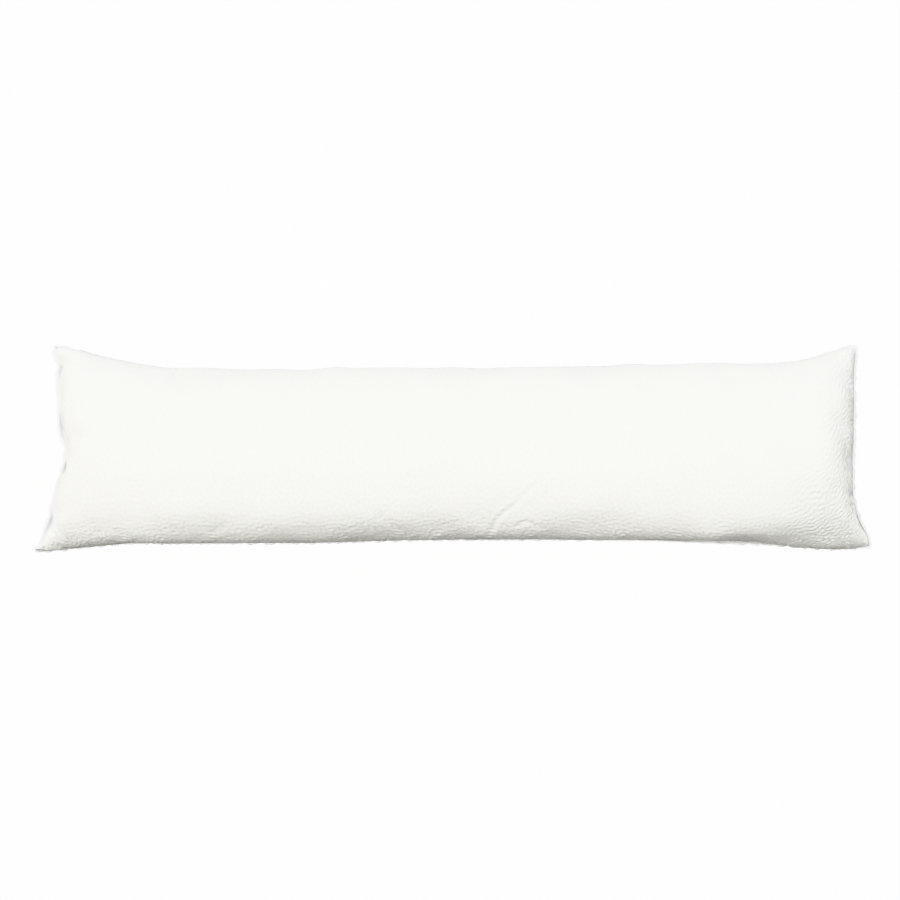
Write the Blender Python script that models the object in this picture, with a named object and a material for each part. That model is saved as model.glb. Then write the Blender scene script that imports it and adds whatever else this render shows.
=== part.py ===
"""A long body pillow: one knitted cover filled with shredded foam, lying on its back.

The origin is on the floor under the middle of the pillow. +X runs along it to the right
end, +Y across it to the far side, and +Z up out of its face. Every size is in metres.
The cover is two panels sewn together all round: an upper one that crowns over the
filling, and a lower one that settles flat on the floor. Four ears stand out where the
seams meet, and each end is drawn in between its two ears.
"""

import math
from typing import NamedTuple

import bmesh
import bpy
import numpy as np

PILLOW = "pillow"
COVER_COLOUR = (0.90, 0.90, 0.87, 1.0)
COVER_ROUGHNESS = 0.85

# The sewn edge
SEAM_THICKNESS = 0.003
LIP_WIDTH = 0.004

# The filling: how full a cut is beside an ellipse, and how much of its depth the floor takes up
FULLNESS = 0.95
SAG = 1.10
NEAR_SEAM_DROP = math.radians(16)
FAR_SEAM_DROP = math.radians(4)

# The ends
LEFT_END = -0.645
RIGHT_END = 0.660
END_ROUND = 0.092
END_ROOT = 0.50
DRAW_IN_REACH = 0.170
PULL_POWER = 2
NEAR_EAR_DROP = 0.084
DROP_REACH = 0.120
DROP_POWER = 4
TINY = 1e-9

# The mesh: how far apart its rows of points are, and into how many strips each panel is cut
END_STEP = 0.0060
END_STEP_REACH = 0.130
CREASE_STEP = 0.012
CREASE_STEP_REACH = 0.060
MIDDLE_STEP = 0.034
PLACES_TRIED = 2001
STRIPS = 26


class Section(NamedTuple):
    """A cut across the pillow, as wide and as high as its filling makes it."""

    along: float
    near: float
    far: float
    crown: float
    middle: float


class EndRow(NamedTuple):
    """A place on the two end seams, from the near ear at -1 to the far ear at 1."""

    across: float
    left: float
    right: float
    lift: float


class Pucker(NamedTuple):
    """A short fold that runs in from an end seam, where the stitching gathers the cover."""

    end: int
    across: float
    width: float
    pull: float
    depth: float
    reach: float


class Crease(NamedTuple):
    """A soft trough in the upper panel, between two places on it."""

    start: tuple[float, float, float]
    finish: tuple[float, float, float]
    width: float
    depth: float


SECTIONS = (
    Section(along=-0.645, near=-0.139, far=0.179, crown=0.157, middle=0.106),
    Section(along=-0.600, near=-0.136, far=0.172, crown=0.193, middle=0.102),
    Section(along=-0.530, near=-0.137, far=0.155, crown=0.203, middle=0.099),
    Section(along=-0.430, near=-0.141, far=0.140, crown=0.214, middle=0.098),
    Section(along=-0.250, near=-0.141, far=0.138, crown=0.220, middle=0.099),
    Section(along=-0.050, near=-0.136, far=0.140, crown=0.221, middle=0.099),
    Section(along=0.120, near=-0.135, far=0.141, crown=0.218, middle=0.098),
    Section(along=0.300, near=-0.136, far=0.146, crown=0.218, middle=0.098),
    Section(along=0.460, near=-0.141, far=0.149, crown=0.212, middle=0.098),
    Section(along=0.550, near=-0.140, far=0.153, crown=0.203, middle=0.099),
    Section(along=0.615, near=-0.137, far=0.169, crown=0.190, middle=0.102),
    Section(along=0.660, near=-0.132, far=0.180, crown=0.160, middle=0.106),
)

END_ROWS = (
    EndRow(across=-1.00, left=-0.672, right=0.680, lift=0.000),
    EndRow(across=-0.93, left=-0.659, right=0.675, lift=0.001),
    EndRow(across=-0.75, left=-0.646, right=0.656, lift=0.003),
    EndRow(across=-0.60, left=-0.6355, right=0.647, lift=0.004),
    EndRow(across=-0.42, left=-0.6255, right=0.643, lift=0.005),
    EndRow(across=-0.24, left=-0.617, right=0.642, lift=0.006),
    EndRow(across=-0.08, left=-0.6135, right=0.644, lift=0.006),
    EndRow(across=0.07, left=-0.622, right=0.646, lift=0.006),
    EndRow(across=0.45, left=-0.629, right=0.649, lift=0.005),
    EndRow(across=0.75, left=-0.633, right=0.653, lift=0.003),
    EndRow(across=0.95, left=-0.640, right=0.657, lift=0.001),
    EndRow(across=1.00, left=-0.640, right=0.656, lift=0.000),
)

LEFT, RIGHT = -1, 1
PUCKERS = (
    Pucker(end=LEFT, across=0.78, width=0.012, pull=0.003, depth=0.006, reach=0.060),
    Pucker(end=LEFT, across=0.38, width=0.015, pull=0.002, depth=0.007, reach=0.075),
    Pucker(end=LEFT, across=-0.05, width=0.014, pull=0.002, depth=0.008, reach=0.085),
    Pucker(end=LEFT, across=-0.20, width=0.012, pull=0.002, depth=0.006, reach=0.060),
    Pucker(end=LEFT, across=-0.72, width=0.014, pull=0.002, depth=0.007, reach=0.070),
    Pucker(end=RIGHT, across=0.58, width=0.014, pull=0.001, depth=0.003, reach=0.060),
    Pucker(end=RIGHT, across=0.10, width=0.016, pull=0.001, depth=0.003, reach=0.070),
    Pucker(end=RIGHT, across=-0.55, width=0.014, pull=0.001, depth=0.004, reach=0.070),
)

CREASES = (
    Crease((0.060, -0.134, 0.120), (0.080, -0.113, 0.162), width=0.009, depth=0.006),
    Crease((0.080, -0.113, 0.162), (0.112, -0.090, 0.188), width=0.010, depth=0.004),
    Crease((0.098, -0.126, 0.142), (0.142, -0.124, 0.142), width=0.010, depth=0.005),
    Crease((0.445, -0.138, 0.086), (0.535, -0.137, 0.090), width=0.009, depth=0.006),
)


def column(table: tuple[NamedTuple, ...], name: str) -> np.ndarray:
    """The values that a table's rows hold under one name."""
    return np.array([getattr(row, name) for row in table])


def smooth_through(places: np.ndarray, known: np.ndarray, values: np.ndarray) -> np.ndarray:
    """A curve with no kinks and no overshoot through known values, read at other places."""
    gaps = np.diff(known)
    slopes = np.diff(values) / gaps
    before, after = slopes[:-1], slopes[1:]
    same_way = before * after > 0
    inner = np.zeros_like(before)
    inner[same_way] = 2 * (before * after)[same_way] / (before + after)[same_way]
    tangents = np.concatenate([slopes[:1], inner, slopes[-1:]])
    left = np.clip(np.searchsorted(known, places, side="right") - 1, 0, len(known) - 2)
    gap = gaps[left]
    t = np.clip((places - known[left]) / gap, 0.0, 1.0)
    start_weight = (1 + 2 * t) * (1 - t) ** 2
    leave_weight = t * (1 - t) ** 2
    arrive_weight = t**2 * (t - 1)
    return (
        start_weight * values[left]
        + (1 - start_weight) * values[left + 1]
        + gap * (leave_weight * tangents[left] + arrive_weight * tangents[left + 1])
    )


def section_value(stations: np.ndarray, name: str) -> np.ndarray:
    """One of the section table's columns at every station along the pillow."""
    return smooth_through(stations, column(SECTIONS, "along"), column(SECTIONS, name))


def end_value(across: np.ndarray, name: str) -> np.ndarray:
    """One of the end table's columns at every place across the pillow."""
    return smooth_through(across, column(END_ROWS, "across"), column(END_ROWS, name))


def bell(distance: np.ndarray, width: float) -> np.ndarray:
    """1 at no distance, falling smoothly to nothing a few widths away."""
    return np.exp(-((distance / width) ** 2))


def stations_along() -> np.ndarray:
    """Places along the pillow for its rows of points, closest at the ends and the creases."""
    fine = np.linspace(LEFT_END, RIGHT_END, PLACES_TRIED)
    from_end = np.minimum(fine - LEFT_END, RIGHT_END - fine)
    middles = [(row.start[0] + row.finish[0]) / 2 for row in CREASES]
    creased_here = np.max([bell(fine - middle, CREASE_STEP_REACH) for middle in middles], axis=0)
    density = (
        1 / MIDDLE_STEP
        + bell(from_end, END_STEP_REACH) * (1 / END_STEP - 1 / MIDDLE_STEP)
        + creased_here * (1 / CREASE_STEP - 1 / MIDDLE_STEP)
    )
    rows = np.concatenate([[0], np.cumsum((density[1:] + density[:-1]) / 2 * np.diff(fine))])
    count = round(rows[-1])
    return np.interp(np.linspace(0, rows[-1], count + 1), rows, fine)


def end_fill(distance: np.ndarray) -> np.ndarray:
    """How full the cover is at a distance from an end seam: 0 on it, 1 in the body."""
    share = np.clip(distance / END_ROUND, 0.0, 1.0)
    return (1 - (1 - share) ** 2) ** END_ROOT


def rounded(value: np.ndarray) -> np.ndarray:
    """A sine or cosine made a little fuller, as cloth under tension is."""
    return np.sign(value) * np.abs(value) ** FULLNESS


def held_by_both(end_share: np.ndarray, side_share: np.ndarray) -> np.ndarray:
    """How far the filling lifts the cover where an end seam and a side seam both hold it."""
    both = end_share * side_share
    return both / np.sqrt(np.maximum(end_share**2 + side_share**2 - both**2, TINY))


def panel(upper: bool) -> np.ndarray:
    """Points of one panel, a row for each station, from the near seam to the far one."""
    station = stations_along()[:, None]
    share = np.linspace(0, 1, STRIPS + 1)[None, :]
    to_left = station - LEFT_END
    to_right = RIGHT_END - station
    from_end = np.minimum(to_left, to_right)
    filled = end_fill(from_end)

    near_drop = NEAR_SEAM_DROP * filled
    far_drop = FAR_SEAM_DROP * filled
    near_angle = math.pi + near_drop if upper else near_drop - math.pi
    angle = near_angle + (-far_drop - near_angle) * share

    near = section_value(station, "near")
    far = section_value(station, "far")
    half = (far - near) / 2
    across = np.cos(angle)
    y = (near + far) / 2 + half * rounded(across)

    middle = section_value(station, "middle")
    crown = section_value(station, "crown") - middle
    depth = np.where(np.sin(angle) > 0, crown, SAG * middle)
    z = middle + depth * held_by_both(filled, rounded(np.sin(angle)))
    z = z + (SEAM_THICKNESS / 2 if upper else -SEAM_THICKNESS / 2)

    left_weight = np.clip(1 - to_left / DRAW_IN_REACH, 0, 1) ** PULL_POWER
    right_weight = np.clip(1 - to_right / DRAW_IN_REACH, 0, 1) ** PULL_POWER
    x = (
        station
        + (end_value(across, "left") - LEFT_END) * left_weight
        + (end_value(across, "right") - RIGHT_END) * right_weight
    )
    z = z + end_value(across, "lift") * (left_weight + right_weight)
    nearness = np.clip((1 - across) / 2, 0, 1) ** DROP_POWER
    z = z - NEAR_EAR_DROP * nearness * bell(from_end, DROP_REACH)

    for row in PUCKERS:
        to_end = to_left if row.end == LEFT else to_right
        beside = bell(half * (across - row.across), row.width)
        run_in = np.clip(1 - to_end / row.reach, 0, 1)
        x = x - row.end * row.pull * beside * run_in**PULL_POWER
        hump = np.sin(math.pi * run_in)
        fold = row.depth * beside * hump
        z = z - fold if upper else z + fold

    points = np.stack(np.broadcast_arrays(x, y, z), axis=-1)
    if upper:
        points = creased(points)
    points[..., 2] = np.maximum(points[..., 2], 0.0)
    return points


def creased(points: np.ndarray) -> np.ndarray:
    """The upper panel with each crease sunk into it, against the way that it faces."""
    facing = np.cross(np.gradient(points, axis=0), np.gradient(points, axis=1))
    facing /= np.linalg.norm(facing, axis=-1, keepdims=True)
    made = points.copy()
    for row in CREASES:
        start = np.array(row.start)
        way = np.array(row.finish) - start
        offset = points - start
        share = np.clip(offset @ way / (way @ way), 0, 1)
        distance = np.linalg.norm(offset - share[..., None] * way, axis=-1)
        made -= row.depth * bell(distance, row.width)[..., None] * facing
    return made


def rim(rows: int, strips: int) -> list[tuple[int, int]]:
    """Grid places round a panel's edge, anticlockwise seen from above."""
    near = [(i, 0) for i in range(rows)]
    right = [(rows, j) for j in range(strips)]
    far = [(i, strips) for i in range(rows, 0, -1)]
    left = [(0, j) for j in range(strips, 0, -1)]
    return near + right + far + left


def lip(upper: np.ndarray, lower: np.ndarray, places: list[tuple[int, int]]) -> np.ndarray:
    """Points of the fine ridge that the sewn edge stands out by, all round the pillow."""
    seam = np.array([(upper[place] + lower[place]) / 2 for place in places])
    run = np.roll(seam, -1, axis=0) - np.roll(seam, 1, axis=0)
    outward = np.stack([run[:, 1], -run[:, 0], np.zeros(len(run))], axis=-1)
    outward /= np.linalg.norm(outward, axis=-1, keepdims=True)
    return seam + LIP_WIDTH * outward


def cover_mesh() -> bmesh.types.BMesh:
    """The filled cover as one closed surface, its faces pointing out."""
    upper = panel(upper=True)
    lower = panel(upper=False)
    rows, strips = upper.shape[0] - 1, upper.shape[1] - 1
    mesh = bmesh.new()
    top = [[mesh.verts.new(point) for point in row] for row in upper]
    base = [[mesh.verts.new(point) for point in row] for row in lower]
    for i in range(rows):
        for j in range(strips):
            mesh.faces.new((top[i][j], top[i + 1][j], top[i + 1][j + 1], top[i][j + 1]))
            mesh.faces.new((base[i][j], base[i][j + 1], base[i + 1][j + 1], base[i + 1][j]))

    places = rim(rows, strips)
    ridge = [mesh.verts.new(point) for point in lip(upper, lower, places)]
    for k, (i, j) in enumerate(places):
        after = (k + 1) % len(places)
        m, n = places[after]
        mesh.faces.new((top[i][j], ridge[k], ridge[after], top[m][n]))
        mesh.faces.new((base[m][n], ridge[after], ridge[k], base[i][j]))
    return mesh


def centre_over_origin(mesh: bmesh.types.BMesh) -> None:
    """Moves the shape on its plan until its box is centred over the origin."""
    points = np.array([vertex.co for vertex in mesh.verts])
    middle = (points.min(axis=0) + points.max(axis=0)) / 2
    bmesh.ops.translate(mesh, verts=mesh.verts, vec=(-middle[0], -middle[1], 0))


def cover_material() -> bpy.types.Material:
    """The cover's white double knit."""
    material = bpy.data.materials.new("white_knit")
    material.use_nodes = True
    shader = material.node_tree.nodes["Principled BSDF"]
    shader.inputs["Base Color"].default_value = COVER_COLOUR
    shader.inputs["Roughness"].default_value = COVER_ROUGHNESS
    shader.inputs["Metallic"].default_value = 0.0
    return material


def clear_scene() -> None:
    """Removes every object that the scene holds."""
    for old in list(bpy.data.objects):
        bpy.data.objects.remove(old, do_unlink=True)


def make_pillow() -> bpy.types.Object:
    """Makes the filled cover, and puts it in the scene."""
    shape = cover_mesh()
    centre_over_origin(shape)
    data = bpy.data.meshes.new(PILLOW)
    shape.to_mesh(data)
    shape.free()
    data.shade_smooth()
    data.materials.append(cover_material())
    pillow = bpy.data.objects.new(PILLOW, data)
    bpy.context.scene.collection.objects.link(pillow)
    return pillow


clear_scene()
make_pillow()
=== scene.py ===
"""A long body pillow in a white ripple knit, lying on its back in plain soft light.

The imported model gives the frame: +X runs along the pillow to its right end, +Y across it
to its far side, and +Z up out of its face. Every size is in metres. The cover is two
panels of one cut, sewn together all round and filled. Its filled shape comes from cuts
across the pillow, a cloth simulation under pressure gathers it where the cut is longer
than the filling takes up, and the knit's ripple is raised on it last.
"""

import logging
import math
from dataclasses import dataclass, field
from enum import Enum
from typing import Any

import bpy
import numpy as np
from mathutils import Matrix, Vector


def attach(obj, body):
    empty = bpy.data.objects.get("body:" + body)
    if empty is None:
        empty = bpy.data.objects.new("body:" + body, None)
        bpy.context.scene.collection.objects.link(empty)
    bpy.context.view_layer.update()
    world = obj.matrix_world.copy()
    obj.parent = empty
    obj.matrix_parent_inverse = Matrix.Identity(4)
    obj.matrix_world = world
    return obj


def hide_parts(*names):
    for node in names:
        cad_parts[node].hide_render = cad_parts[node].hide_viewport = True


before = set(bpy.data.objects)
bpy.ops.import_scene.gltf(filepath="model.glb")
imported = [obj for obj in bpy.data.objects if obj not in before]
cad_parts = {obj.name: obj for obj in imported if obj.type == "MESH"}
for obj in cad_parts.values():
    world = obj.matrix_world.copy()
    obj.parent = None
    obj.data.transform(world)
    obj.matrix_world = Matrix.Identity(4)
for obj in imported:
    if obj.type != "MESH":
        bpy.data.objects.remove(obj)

LOG = logging.getLogger("body_pillow")
BODY = "root"
NODE = "pillow"
SAMPLES = 2001
LEAST_LENGTH = 1e-12
LEAST_SQUARE = 1e-9
MIX_SHARE, MIX_FIRST, MIX_SECOND, MIX_COLOUR = 0, 6, 7, 2


class Panel(Enum):
    """The two panels of the cover."""

    UPPER = 1
    LOWER = -1


class End(Enum):
    """The pillow's two ends."""

    LEFT = -1
    RIGHT = 1


@dataclass(frozen=True)
class Section:
    """A cut across the pillow, as wide and as high as its filling makes it."""

    along: float
    near: float
    far: float
    crown: float
    middle: float


@dataclass(frozen=True)
class EndRow:
    """A place on the two end seams, from the near ear at -1 to the far ear at 1."""

    across: float
    left: float
    right: float
    lift: float


@dataclass(frozen=True)
class Pucker:
    """A short fold that runs in from an end seam, where the stitching gathers the cover."""

    end: End
    across: float
    width: float
    pull: float
    depth: float
    reach: float


@dataclass(frozen=True)
class Crease:
    """A trough along a path on a panel's flat cut, with a soft roll beside it, and painted shade in the
    trough.
    """

    panel: Panel
    path: tuple[tuple[float, float], ...]
    width: float
    depth: float
    roll: float = 0.35
    # How much painted shade darkens the trough's colour.
    painted_shade: float = 0.0


@dataclass(frozen=True)
class Tuck:
    """A stretch of an end seam where the filling stands close over the stitching."""

    end: End
    across: float
    length: float
    depth: float


@dataclass(frozen=True)
class Undercut:
    """A stretch of the near side where the filling stands out over the ear's flap below it."""

    start: float
    finish: float
    back: float
    rise: float
    level: float
    fall: float
    fold: float
    deep: float
    fold_place: float
    fold_width: float


SECTIONS = (
    Section(along=-0.645, near=-0.139, far=0.179, crown=0.157, middle=0.106),
    Section(along=-0.600, near=-0.136, far=0.172, crown=0.193, middle=0.102),
    Section(along=-0.530, near=-0.137, far=0.155, crown=0.203, middle=0.099),
    Section(along=-0.430, near=-0.141, far=0.140, crown=0.214, middle=0.098),
    Section(along=-0.250, near=-0.141, far=0.138, crown=0.220, middle=0.099),
    Section(along=-0.050, near=-0.136, far=0.140, crown=0.221, middle=0.099),
    Section(along=0.120, near=-0.135, far=0.141, crown=0.218, middle=0.098),
    Section(along=0.300, near=-0.136, far=0.146, crown=0.218, middle=0.098),
    Section(along=0.460, near=-0.141, far=0.149, crown=0.212, middle=0.098),
    Section(along=0.550, near=-0.140, far=0.153, crown=0.203, middle=0.099),
    Section(along=0.615, near=-0.137, far=0.169, crown=0.190, middle=0.102),
    Section(along=0.660, near=-0.132, far=0.180, crown=0.160, middle=0.106),
)

END_ROWS = (
    EndRow(across=-1.00, left=-0.672, right=0.680, lift=0.000),
    EndRow(across=-0.93, left=-0.659, right=0.675, lift=0.001),
    EndRow(across=-0.75, left=-0.646, right=0.656, lift=0.003),
    EndRow(across=-0.60, left=-0.6355, right=0.647, lift=0.004),
    EndRow(across=-0.42, left=-0.6255, right=0.643, lift=0.005),
    EndRow(across=-0.24, left=-0.617, right=0.642, lift=0.006),
    EndRow(across=-0.08, left=-0.6135, right=0.644, lift=0.006),
    EndRow(across=0.07, left=-0.622, right=0.646, lift=0.006),
    EndRow(across=0.45, left=-0.629, right=0.649, lift=0.005),
    EndRow(across=0.75, left=-0.633, right=0.653, lift=0.003),
    EndRow(across=0.95, left=-0.640, right=0.657, lift=0.001),
    EndRow(across=1.00, left=-0.640, right=0.656, lift=0.000),
)

PUCKERS = (
    Pucker(End.LEFT, across=0.78, width=0.012, pull=0.003, depth=0.006, reach=0.060),
    Pucker(End.LEFT, across=0.38, width=0.015, pull=0.002, depth=0.007, reach=0.075),
    Pucker(End.LEFT, across=-0.05, width=0.014, pull=0.002, depth=0.008, reach=0.085),
    Pucker(End.LEFT, across=-0.20, width=0.012, pull=0.002, depth=0.006, reach=0.060),
    Pucker(End.LEFT, across=-0.72, width=0.014, pull=0.002, depth=0.007, reach=0.070),
    Pucker(End.RIGHT, across=0.58, width=0.014, pull=0.001, depth=0.003, reach=0.060),
    Pucker(End.RIGHT, across=0.10, width=0.016, pull=0.001, depth=0.003, reach=0.070),
    Pucker(End.RIGHT, across=-0.55, width=0.014, pull=0.001, depth=0.004, reach=0.070),
)

UNDERCUT = Undercut(
    start=1.055, finish=1.225, back=0.004, rise=0.012, level=0.030, fall=0.035,
    fold=0.006, deep=0.018, fold_place=0.011, fold_width=0.006,
)

CREASES = (
    Crease(
        Panel.UPPER, width=0.0040, depth=0.0014, roll=0.20,
        path=((0.7355, 0.040), (0.7487, 0.0778), (0.7641, 0.0976), (0.7773, 0.1064), (0.8125, 0.1438)),
    ),
    Crease(
        Panel.UPPER, width=0.0040, depth=0.0012, roll=0.20,
        path=((0.7751, 0.0668), (0.7971, 0.0800), (0.8191, 0.0624)),
    ),
    # The next two creases, by the near left ear, also carry painted shade.
    Crease(
        Panel.UPPER, width=0.0030, depth=0.0035, painted_shade=0.5,
        path=((0.0040, 0.0570), (0.0236, 0.0610), (0.0348, 0.0505), (0.0433, 0.0415)),
    ),
    Crease(
        Panel.UPPER, width=0.0028, depth=0.0035, painted_shade=0.9,
        path=((0.0010, 0.0225), (0.0105, 0.0205), (0.0208, 0.0220), (0.0292, 0.0220), (0.0500, 0.0180)),
    ),
    Crease(Panel.UPPER, width=0.0035, depth=0.0015, path=((1.1975, 0.3332), (1.1931, 0.3024))),
)

TUCKS = (
    Tuck(End.LEFT, across=0.349, length=0.010, depth=0.0060),
    Tuck(End.LEFT, across=0.247, length=0.020, depth=0.0060),
    Tuck(End.LEFT, across=0.172, length=0.009, depth=0.0065),
    Tuck(End.LEFT, across=0.067, length=0.016, depth=0.0055),
    Tuck(End.RIGHT, across=0.060, length=0.022, depth=0.0030),
)


def column(table: tuple[Any, ...], name: str) -> np.ndarray:
    """The values that a table's rows hold under one name.

    Args:
        table: rows of one kind.
        name: the field to read from each row.

    Returns:
        One number for each row.
    """
    return np.array([getattr(row, name) for row in table])


def smooth_through(places: np.ndarray, known: np.ndarray, values: np.ndarray) -> np.ndarray:
    """A curve with no kinks and no overshoot through known values, read at other places.

    Args:
        places: where the curve is read.
        known: rising places where its values are known.
        values: the values there.

    Returns:
        The curve's value at each of the places.
    """
    gaps = np.diff(known)
    slopes = np.diff(values) / gaps
    before, after = slopes[:-1], slopes[1:]
    same_way = before * after > 0
    inner = np.zeros_like(before)
    inner[same_way] = 2 * (before * after)[same_way] / (before + after)[same_way]
    tangents = np.concatenate([slopes[:1], inner, slopes[-1:]])
    left = np.clip(np.searchsorted(known, places, side="right") - 1, 0, len(known) - 2)
    gap = gaps[left]
    t = np.clip((places - known[left]) / gap, 0.0, 1.0)
    start_weight = (1 + 2 * t) * (1 - t) ** 2
    leave_weight = t * (1 - t) ** 2
    arrive_weight = t**2 * (t - 1)
    return (
        start_weight * values[left]
        + (1 - start_weight) * values[left + 1]
        + gap * (leave_weight * tangents[left] + arrive_weight * tangents[left + 1])
    )


def bell(distance: np.ndarray, width: float) -> np.ndarray:
    """1 at no distance, falling smoothly to nothing a few widths away."""
    return np.exp(-((distance / width) ** 2))


def eased(value: np.ndarray) -> np.ndarray:
    """0 up to 0 and 1 from 1 on, with a smooth rise between."""
    t = np.clip(value, 0.0, 1.0)
    return t * t * (3 - 2 * t)


def unit(vectors: np.ndarray) -> np.ndarray:
    """The vectors, each with a length of 1."""
    return vectors / np.maximum(np.linalg.norm(vectors, axis=-1, keepdims=True), LEAST_LENGTH)


def facing(points: np.ndarray, panel: Panel) -> np.ndarray:
    """The way that each point of a panel faces, out of the pillow.

    Args:
        points: the panel's points, a row for each place along the pillow.
        panel: which panel they are of.

    Returns:
        A unit vector for each point.
    """
    return panel.value * unit(np.cross(np.gradient(points, axis=0), np.gradient(points, axis=1)))


def read_between(values: np.ndarray, places: np.ndarray, axis: int) -> np.ndarray:
    """Values on a grid, read between its lines by a smooth curve through four of them.

    Args:
        values: numbers or points on a grid.
        places: where to read them, counted in grid lines.
        axis: the grid's axis that the places lie along.

    Returns:
        The grid with its lines on that axis exchanged for the places.
    """
    last = values.shape[axis] - 1
    low = np.clip(np.floor(places).astype(int), 0, last - 1)
    t = np.clip(places - low, 0.0, 1.0)
    weights = (
        (-t + 2 * t**2 - t**3) / 2,
        (2 - 5 * t**2 + 3 * t**3) / 2,
        (t + 4 * t**2 - 3 * t**3) / 2,
        (-(t**2) + t**3) / 2,
    )
    shape = [1] * values.ndim
    shape[axis] = len(places)
    return sum(
        np.take(values, np.clip(low + step, 0, last), axis=axis) * weight.reshape(shape)
        for step, weight in zip((-1, 0, 1, 2), weights)
    )


def spread_evenly(points: np.ndarray, shares: np.ndarray) -> np.ndarray:
    """Points drawn along each column until each lies at its share of the column's length.

    Args:
        points: points on a grid, whose first axis runs along each column.
        shares: rising shares of the length, from 0 to 1.

    Returns:
        The points at those shares.
    """
    steps = np.linalg.norm(np.diff(points, axis=0), axis=-1)
    run = np.concatenate([np.zeros((1, steps.shape[1])), np.cumsum(steps, axis=0)])
    run /= run[-1]
    made = np.empty((len(shares),) + points.shape[1:])
    for j in range(points.shape[1]):
        for axis in range(3):
            made[:, j, axis] = np.interp(shares, run[:, j], points[:, j, axis])
    return made


def grid_faces(numbers: np.ndarray, closed: bool = False) -> np.ndarray:
    """The faces of a grid of numbered points.

    Args:
        numbers: the points' numbers, a row for each line of them.
        closed: whether the last column joins the first again.

    Returns:
        Four point numbers for each face.
    """
    if closed:
        numbers = np.concatenate([numbers, numbers[:, :1]], axis=1)
    corners = (numbers[:-1, :-1], numbers[1:, :-1], numbers[1:, 1:], numbers[:-1, 1:])
    return np.stack(corners, axis=-1).reshape(-1, 4)


def in_scene(name: str, data: bpy.types.ID) -> bpy.types.Object:
    """A new object at the origin, in the scene.

    Args:
        name: the object's name.
        data: its mesh or camera.

    Returns:
        The object.
    """
    made = bpy.data.objects.new(name, data)
    bpy.context.scene.collection.objects.link(made)
    return made


@dataclass
class FilledForm:
    """The pillow's filled shape, from cuts across it and the lines of its two end seams."""

    sections: tuple[Section, ...] = SECTIONS
    end_rows: tuple[EndRow, ...] = END_ROWS
    puckers: tuple[Pucker, ...] = PUCKERS
    left_end: float = -0.645
    right_end: float = 0.660
    seam_thickness: float = 0.003
    fullness: float = 0.95
    sag: float = 1.10
    near_seam_drop: float = math.radians(16)
    far_seam_drop: float = math.radians(4)
    end_round: float = 0.092
    end_root: float = 0.50
    draw_in_reach: float = 0.170
    pull_power: float = 2.0
    near_ear_drop: float = 0.084
    drop_reach: float = 0.120
    drop_power: float = 4.0
    box_middle: tuple[float, float] = (0.0051, 0.0205)

    def section_value(self, station: np.ndarray, name: str) -> np.ndarray:
        """One of the section table's columns at every station along the pillow."""
        return smooth_through(station, column(self.sections, "along"), column(self.sections, name))

    def end_value(self, across: np.ndarray, name: str) -> np.ndarray:
        """One of the end table's columns at every place across the pillow."""
        return smooth_through(across, column(self.end_rows, "across"), column(self.end_rows, name))

    def rounded(self, value: np.ndarray) -> np.ndarray:
        """A sine or cosine made a little fuller, as cloth under tension is."""
        return np.sign(value) * np.abs(value) ** self.fullness

    @staticmethod
    def held_by_both(end_share: np.ndarray, side_share: np.ndarray) -> np.ndarray:
        """How far the filling lifts the cover where an end seam and a side seam both hold it."""
        both = end_share * side_share
        return both / np.sqrt(np.maximum(end_share**2 + side_share**2 - both**2, LEAST_SQUARE))

    def surface(self, panel: Panel, station: np.ndarray, share: np.ndarray) -> np.ndarray:
        """Points of one panel.

        Args:
            panel: the panel that the points are on.
            station: places along the pillow, as a column.
            share: places from the near seam, 0, to the far seam, 1, as a row.

        Returns:
            The points, a row for each station.
        """
        upper = panel is Panel.UPPER
        to_left = station - self.left_end
        to_right = self.right_end - station
        from_end = np.minimum(to_left, to_right)
        filled = (1 - (1 - np.clip(from_end / self.end_round, 0, 1)) ** 2) ** self.end_root

        near_drop = self.near_seam_drop * filled
        near_angle = math.pi + near_drop if upper else near_drop - math.pi
        angle = near_angle + (-self.far_seam_drop * filled - near_angle) * share

        near = self.section_value(station, "near")
        far = self.section_value(station, "far")
        half = (far - near) / 2
        across = np.cos(angle)
        y = (near + far) / 2 + half * self.rounded(across)

        middle = self.section_value(station, "middle")
        crown = self.section_value(station, "crown") - middle
        depth = np.where(np.sin(angle) > 0, crown, self.sag * middle)
        z = middle + depth * self.held_by_both(filled, self.rounded(np.sin(angle)))
        z = z + panel.value * self.seam_thickness / 2

        left_weight = np.clip(1 - to_left / self.draw_in_reach, 0, 1) ** self.pull_power
        right_weight = np.clip(1 - to_right / self.draw_in_reach, 0, 1) ** self.pull_power
        x = (
            station
            + (self.end_value(across, "left") - self.left_end) * left_weight
            + (self.end_value(across, "right") - self.right_end) * right_weight
        )
        z = z + self.end_value(across, "lift") * (left_weight + right_weight)
        nearness = np.clip((1 - across) / 2, 0, 1) ** self.drop_power
        z = z - self.near_ear_drop * nearness * bell(from_end, self.drop_reach)

        for row in self.puckers:
            to_end = to_left if row.end is End.LEFT else to_right
            beside = bell(half * (across - row.across), row.width)
            run_in = np.clip(1 - to_end / row.reach, 0, 1)
            x = x - row.end.value * row.pull * beside * run_in**self.pull_power
            z = z - panel.value * row.depth * beside * np.sin(math.pi * run_in)
        return np.stack(np.broadcast_arrays(x, y, z), axis=-1)


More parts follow.
